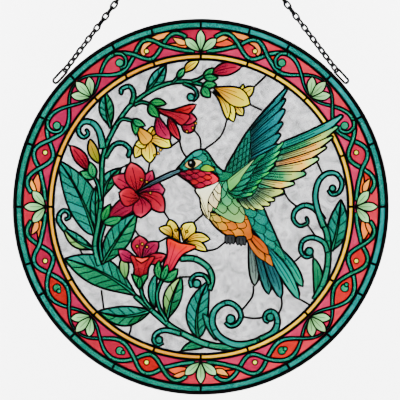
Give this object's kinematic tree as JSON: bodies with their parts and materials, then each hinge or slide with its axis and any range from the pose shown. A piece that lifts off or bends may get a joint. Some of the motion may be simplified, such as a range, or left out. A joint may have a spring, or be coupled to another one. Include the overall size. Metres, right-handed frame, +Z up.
{
  "type": "stained glass window panel",
  "caption": "Round leaded glass panel with a hummingbird among trumpet flowers, a border of interlaced vines and rosettes, a black metal rim and two hanging chains.",
  "frame": {"origin": "inner top of the hanging ring, where a hook or nail carries it", "axes": "+Z up, the front of the panel faces -Y, +X to the right as seen from the front"},
  "size_m": [0.3, 0.007, 0.41],
  "materials": {
    "black_metal": "blackened, half gloss",
    "leading": "black patina on solder",
    "clear_glass": "clear, hammered",
    "teal_glass": "streaky cathedral glass",
    "green_glass": "streaky cathedral glass",
    "red_glass": "streaky cathedral glass",
    "cream_glass": "opalescent glass",
    "orange_glass": "streaky cathedral glass",
    "coral_glass": "streaky cathedral glass",
    "sage_glass": "opalescent glass"
  },
  "bodies": {
    "root": {"back_01": "teal_glass", "back_wing_feather_01": "teal_glass", "belly_01": "orange_glass", "breast_01": "cream_glass", "chain_left": "black_metal", "chain_right": "black_metal", "clear_glass_01": "clear_glass", "clear_glass_02": "clear_glass", "clear_glass_03": "clear_glass", "clear_glass_04": "clear_glass", "clear_glass_05": "clear_glass", "clear_glass_06": "clear_glass", "clear_glass_07": "clear_glass", "clear_glass_08": "clear_glass", "clear_glass_09": "clear_glass", "clear_glass_10": "clear_glass", "clear_glass_11": "clear_glass", "clear_glass_12": "clear_glass", "clear_glass_13": "clear_glass", "clear_glass_14": "clear_glass", "clear_glass_15": "clear_glass", "clear_glass_16": "clear_glass", "clear_glass_17": "clear_glass", "clear_glass_18": "clear_glass", "clear_glass_19": "clear_glass", "clear_glass_20": "clear_glass", "clear_glass_21": "clear_glass", "clear_glass_22": "clear_glass", "clear_glass_23": "clear_glass", "clear_glass_24": "clear_glass", "clear_glass_25": "clear_glass", "clear_glass_26": "clear_glass", "cream_petal_01": "cream_glass", "front_wing_coverts_01": "green_glass", "front_wing_feather_01": "sage_glass", "hanging_ring": "black_metal", "head_01": "teal_glass", "leading": "leading", "leaf_01": "green_glass", "leaf_02": "green_glass", "leaf_03": "green_glass", "leaf_04": "green_glass", "leaf_05": "green_glass", "leaf_06": "green_glass", "leaf_07": "green_glass", "leaf_08": "green_glass", "leaf_09": "green_glass", "loop_left": "black_metal", "loop_right": "black_metal", "orange_tube_01": "coral_glass", "red_petal_01": "red_glass", "red_petal_02": "red_glass", "red_tube_01": "red_glass", "rim": "black_metal", "shoulder_01": "green_glass", "side_01": "green_glass", "tail_feather_01": "teal_glass", "tail_feather_02": "teal_glass", "throat_01": "red_glass", "undertail_01": "orange_glass"}
  },
  "joints": []
}
